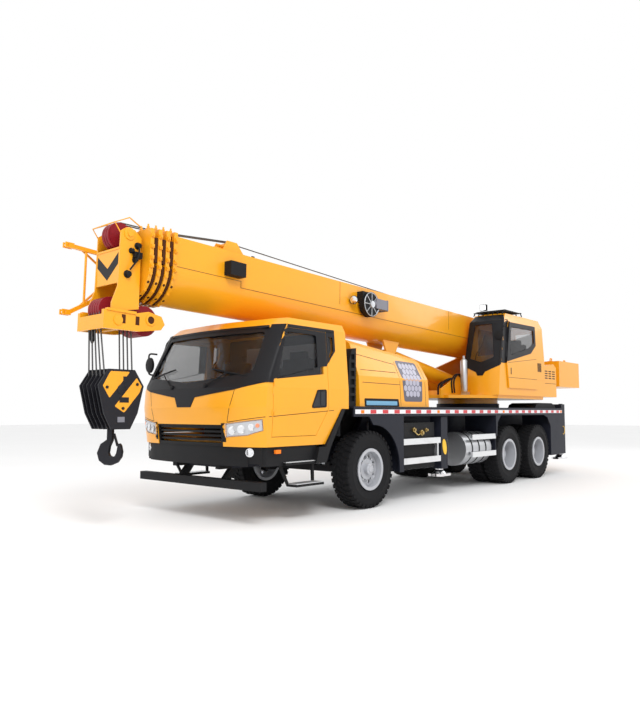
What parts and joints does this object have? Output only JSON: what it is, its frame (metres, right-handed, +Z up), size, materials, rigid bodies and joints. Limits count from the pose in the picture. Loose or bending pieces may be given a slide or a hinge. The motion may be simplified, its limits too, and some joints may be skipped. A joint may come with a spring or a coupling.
{
  "type": "mobile crane",
  "caption": "Truck-mounted telescopic crane in travel order: slewing upper, luffing boom, hook block, two cabs, stowed lattice jib and sliding outriggers.",
  "frame": {"origin": "on the ground below the middle of the overall box", "axes": "X forward along the machine, Y to its left, Z up"},
  "size_m": [12.062, 2.505, 3.5435],
  "materials": {
    "crane_yellow": "gloss paint",
    "chassis_dark": "semi-gloss paint",
    "axle_dark": "satin",
    "tyre_rubber": "matt",
    "rim_silver": "silver paint",
    "guard_aluminium": "satin",
    "tank_steel": "satin",
    "tinted_glass": "tinted",
    "lamp_clear": "clear",
    "interior_dark": "matt",
    "trim_black": "matt",
    "engine_iron": "satin",
    "winch_dark": "satin",
    "rod_steel": "polished",
    "sheave_red": "satin",
    "hook_dark": "satin",
    "rope_steel": "oiled"
  },
  "bodies": {
    "chassis": {"chassis_frame": "chassis_dark", "chassis_deck": "chassis_dark", "axles": "axle_dark", "side_guard_bars": "guard_aluminium", "side_tanks": "tank_steel", "driver_cab": "crane_yellow", "driver_cab_glass": "tinted_glass", "driver_cab_interior": "interior_dark", "front_bumper": "trim_black", "headlamps": "lamp_clear", "engine_hood": "crane_yellow", "air_intake_panel": "trim_black", "engine": "engine_iron"},
    "superstructure": {"turntable": "crane_yellow", "winches": "winch_dark", "superstructure_covers": "crane_yellow", "counterweight": "crane_yellow", "operator_cab": "crane_yellow", "operator_cab_glass": "tinted_glass", "operator_cab_interior": "interior_dark"},
    "operator_door_body": {"operator_door": "crane_yellow", "operator_door_glass": "tinted_glass"},
    "boom_1": {"boom_base": "crane_yellow", "boom_fittings": "trim_black", "lattice_jib": "crane_yellow"},
    "boom_2": {"boom_section_2": "crane_yellow"},
    "boom_3": {"boom_section_3": "crane_yellow"},
    "boom_4": {"boom_section_4": "crane_yellow"},
    "boom_5": {"boom_section_5": "crane_yellow", "head_sheaves": "sheave_red"},
    "hook": {"hook_block": "hook_dark", "hoist_ropes": "rope_steel"},
    "lift_barrel": {"lift_cylinder_barrel": "crane_yellow"},
    "lift_rod": {"lift_cylinder_rod": "rod_steel"},
    "cab_door_left_body": {"cab_door_left": "crane_yellow", "cab_door_glass_left": "tinted_glass"},
    "knuckle_left": {"steering_knuckle_left": "axle_dark"},
    "wheel_front_left": {"tyre_front_left": "tyre_rubber", "rim_front_left": "rim_silver"},
    "wheels_axle_2_left": {"tyres_axle_2_left": "tyre_rubber", "rims_axle_2_left": "rim_silver"},
    "wheels_axle_3_left": {"tyres_axle_3_left": "tyre_rubber", "rims_axle_3_left": "rim_silver"},
    "beam_front_left": {"outrigger_beam_front_left": "chassis_dark"},
    "jack_front_left": {"outrigger_jack_front_left": "rod_steel"},
    "beam_rear_left": {"outrigger_beam_rear_left": "chassis_dark"},
    "jack_rear_left": {"outrigger_jack_rear_left": "rod_steel"},
    "cab_door_right_body": {"cab_door_right": "crane_yellow", "cab_door_glass_right": "tinted_glass"},
    "knuckle_right": {"steering_knuckle_right": "axle_dark"},
    "wheel_front_right": {"tyre_front_right": "tyre_rubber", "rim_front_right": "rim_silver"},
    "wheels_axle_2_right": {"tyres_axle_2_right": "tyre_rubber", "rims_axle_2_right": "rim_silver"},
    "wheels_axle_3_right": {"tyres_axle_3_right": "tyre_rubber", "rims_axle_3_right": "rim_silver"},
    "beam_front_right": {"outrigger_beam_front_right": "chassis_dark"},
    "jack_front_right": {"outrigger_jack_front_right": "rod_steel"},
    "beam_rear_right": {"outrigger_beam_rear_right": "chassis_dark"},
    "jack_rear_right": {"outrigger_jack_rear_right": "rod_steel"}
  },
  "joints": [
    {"name": "slew", "type": "hinge", "parent": "chassis", "child": "superstructure", "pos_m": [-2.63105, 0, 1.6], "axis": [0, 0, 1], "continuous": true},
    {"name": "boom_luff", "type": "hinge", "parent": "superstructure", "child": "boom_1", "pos_m": [-3.83105, 0, 2.815], "axis": [0, -1, 0], "range_deg": [0, 76]},
    {"name": "lift_barrel_swing", "type": "hinge", "parent": "superstructure", "child": "lift_barrel", "pos_m": [-2.25105, 0, 1.89], "axis": [0, -1, 0], "range_deg": [0, 81.89]},
    {"name": "lift_rod_extend", "type": "slide", "parent": "lift_barrel", "child": "lift_rod", "axis": [0.9855, 0, 0.1698], "range_m": [0, 2.233]},
    {"name": "telescope_2", "type": "slide", "parent": "boom_1", "child": "boom_2", "axis": [0.9997, 0, 0.0253], "range_m": [0, 7.2]},
    {"name": "telescope_3", "type": "slide", "parent": "boom_2", "child": "boom_3", "axis": [0.9997, 0, 0.0253], "range_m": [0, 7.2]},
    {"name": "telescope_4", "type": "slide", "parent": "boom_3", "child": "boom_4", "axis": [0.9997, 0, 0.0253], "range_m": [0, 7.2]},
    {"name": "telescope_5", "type": "slide", "parent": "boom_4", "child": "boom_5", "axis": [0.9997, 0, 0.0253], "range_m": [0, 7.2]},
    {"name": "hook_swing", "type": "hinge", "parent": "boom_5", "child": "hook", "pos_m": [5.73895, 0, 2.3], "axis": [0, -1, 0], "range_deg": [-76.5, 0]},
    {"name": "operator_door_slide", "type": "slide", "parent": "superstructure", "child": "operator_door_body", "axis": [-1, 0, 0], "range_m": [0, 0.65]},
    {"name": "cab_door_left_hinge", "type": "hinge", "parent": "chassis", "child": "cab_door_left_body", "pos_m": [4.35695, 1.222, 1.4], "axis": [0, 0, -1], "range_deg": [0, 70]},
    {"name": "steer_left", "type": "hinge", "parent": "chassis", "child": "knuckle_left", "pos_m": [2.36895, 0.905, 0.542], "axis": [0, 0, 1], "range_deg": [-35, 35]},
    {"name": "roll_front_left", "type": "hinge", "parent": "knuckle_left", "child": "wheel_front_left", "pos_m": [2.36895, 1.037, 0.542], "axis": [0, 1, 0], "continuous": true},
    {"name": "roll_axle_2_left", "type": "hinge", "parent": "chassis", "child": "wheels_axle_2_left", "pos_m": [-1.95605, 0.917, 0.542], "axis": [0, 1, 0], "continuous": true},
    {"name": "roll_axle_3_left", "type": "hinge", "parent": "chassis", "child": "wheels_axle_3_left", "pos_m": [-3.30605, 0.917, 0.542], "axis": [0, 1, 0], "continuous": true},
    {"name": "outrigger_front_left_slide", "type": "slide", "parent": "chassis", "child": "beam_front_left", "axis": [0, 1, 0], "range_m": [0, 1.5]},
    {"name": "outrigger_front_left_jack", "type": "slide", "parent": "beam_front_left", "child": "jack_front_left", "axis": [0, 0, -1], "range_m": [0, 0.305]},
    {"name": "outrigger_rear_left_slide", "type": "slide", "parent": "chassis", "child": "beam_rear_left", "axis": [0, 1, 0], "range_m": [0, 1.5]},
    {"name": "outrigger_rear_left_jack", "type": "slide", "parent": "beam_rear_left", "child": "jack_rear_left", "axis": [0, 0, -1], "range_m": [0, 0.305]},
    {"name": "cab_door_right_hinge", "type": "hinge", "parent": "chassis", "child": "cab_door_right_body", "pos_m": [4.35695, -1.222, 1.4], "axis": [0, 0, 1], "range_deg": [0, 70]},
    {"name": "steer_right", "type": "hinge", "parent": "chassis", "child": "knuckle_right", "pos_m": [2.36895, -0.905, 0.542], "axis": [0, 0, 1], "range_deg": [-35, 35]},
    {"name": "roll_front_right", "type": "hinge", "parent": "knuckle_right", "child": "wheel_front_right", "pos_m": [2.36895, -1.037, 0.542], "axis": [0, 1, 0], "continuous": true},
    {"name": "roll_axle_2_right", "type": "hinge", "parent": "chassis", "child": "wheels_axle_2_right", "pos_m": [-1.95605, -0.917, 0.542], "axis": [0, 1, 0], "continuous": true},
    {"name": "roll_axle_3_right", "type": "hinge", "parent": "chassis", "child": "wheels_axle_3_right", "pos_m": [-3.30605, -0.917, 0.542], "axis": [0, 1, 0], "continuous": true},
    {"name": "outrigger_front_right_slide", "type": "slide", "parent": "chassis", "child": "beam_front_right", "axis": [0, -1, 0], "range_m": [0, 1.5]},
    {"name": "outrigger_front_right_jack", "type": "slide", "parent": "beam_front_right", "child": "jack_front_right", "axis": [0, 0, -1], "range_m": [0, 0.305]},
    {"name": "outrigger_rear_right_slide", "type": "slide", "parent": "chassis", "child": "beam_rear_right", "axis": [0, -1, 0], "range_m": [0, 1.5]},
    {"name": "outrigger_rear_right_jack", "type": "slide", "parent": "beam_rear_right", "child": "jack_rear_right", "axis": [0, 0, -1], "range_m": [0, 0.305]}
  ],
  "couplings": [
    {"joint": "lift_barrel_swing", "follows": "boom_luff", "ratio": 1.071},
    {"joint": "lift_rod_extend", "follows": "boom_luff", "m_per_rad": 1.6796},
    {"joint": "hook_swing", "follows": "boom_luff", "ratio": -1},
    {"joint": "steer_right", "follows": "steer_left", "ratio": 1},
    {"joint": "telescope_3", "follows": "telescope_2", "ratio": 1},
    {"joint": "telescope_4", "follows": "telescope_2", "ratio": 1},
    {"joint": "telescope_5", "follows": "telescope_2", "ratio": 1}
  ]
}
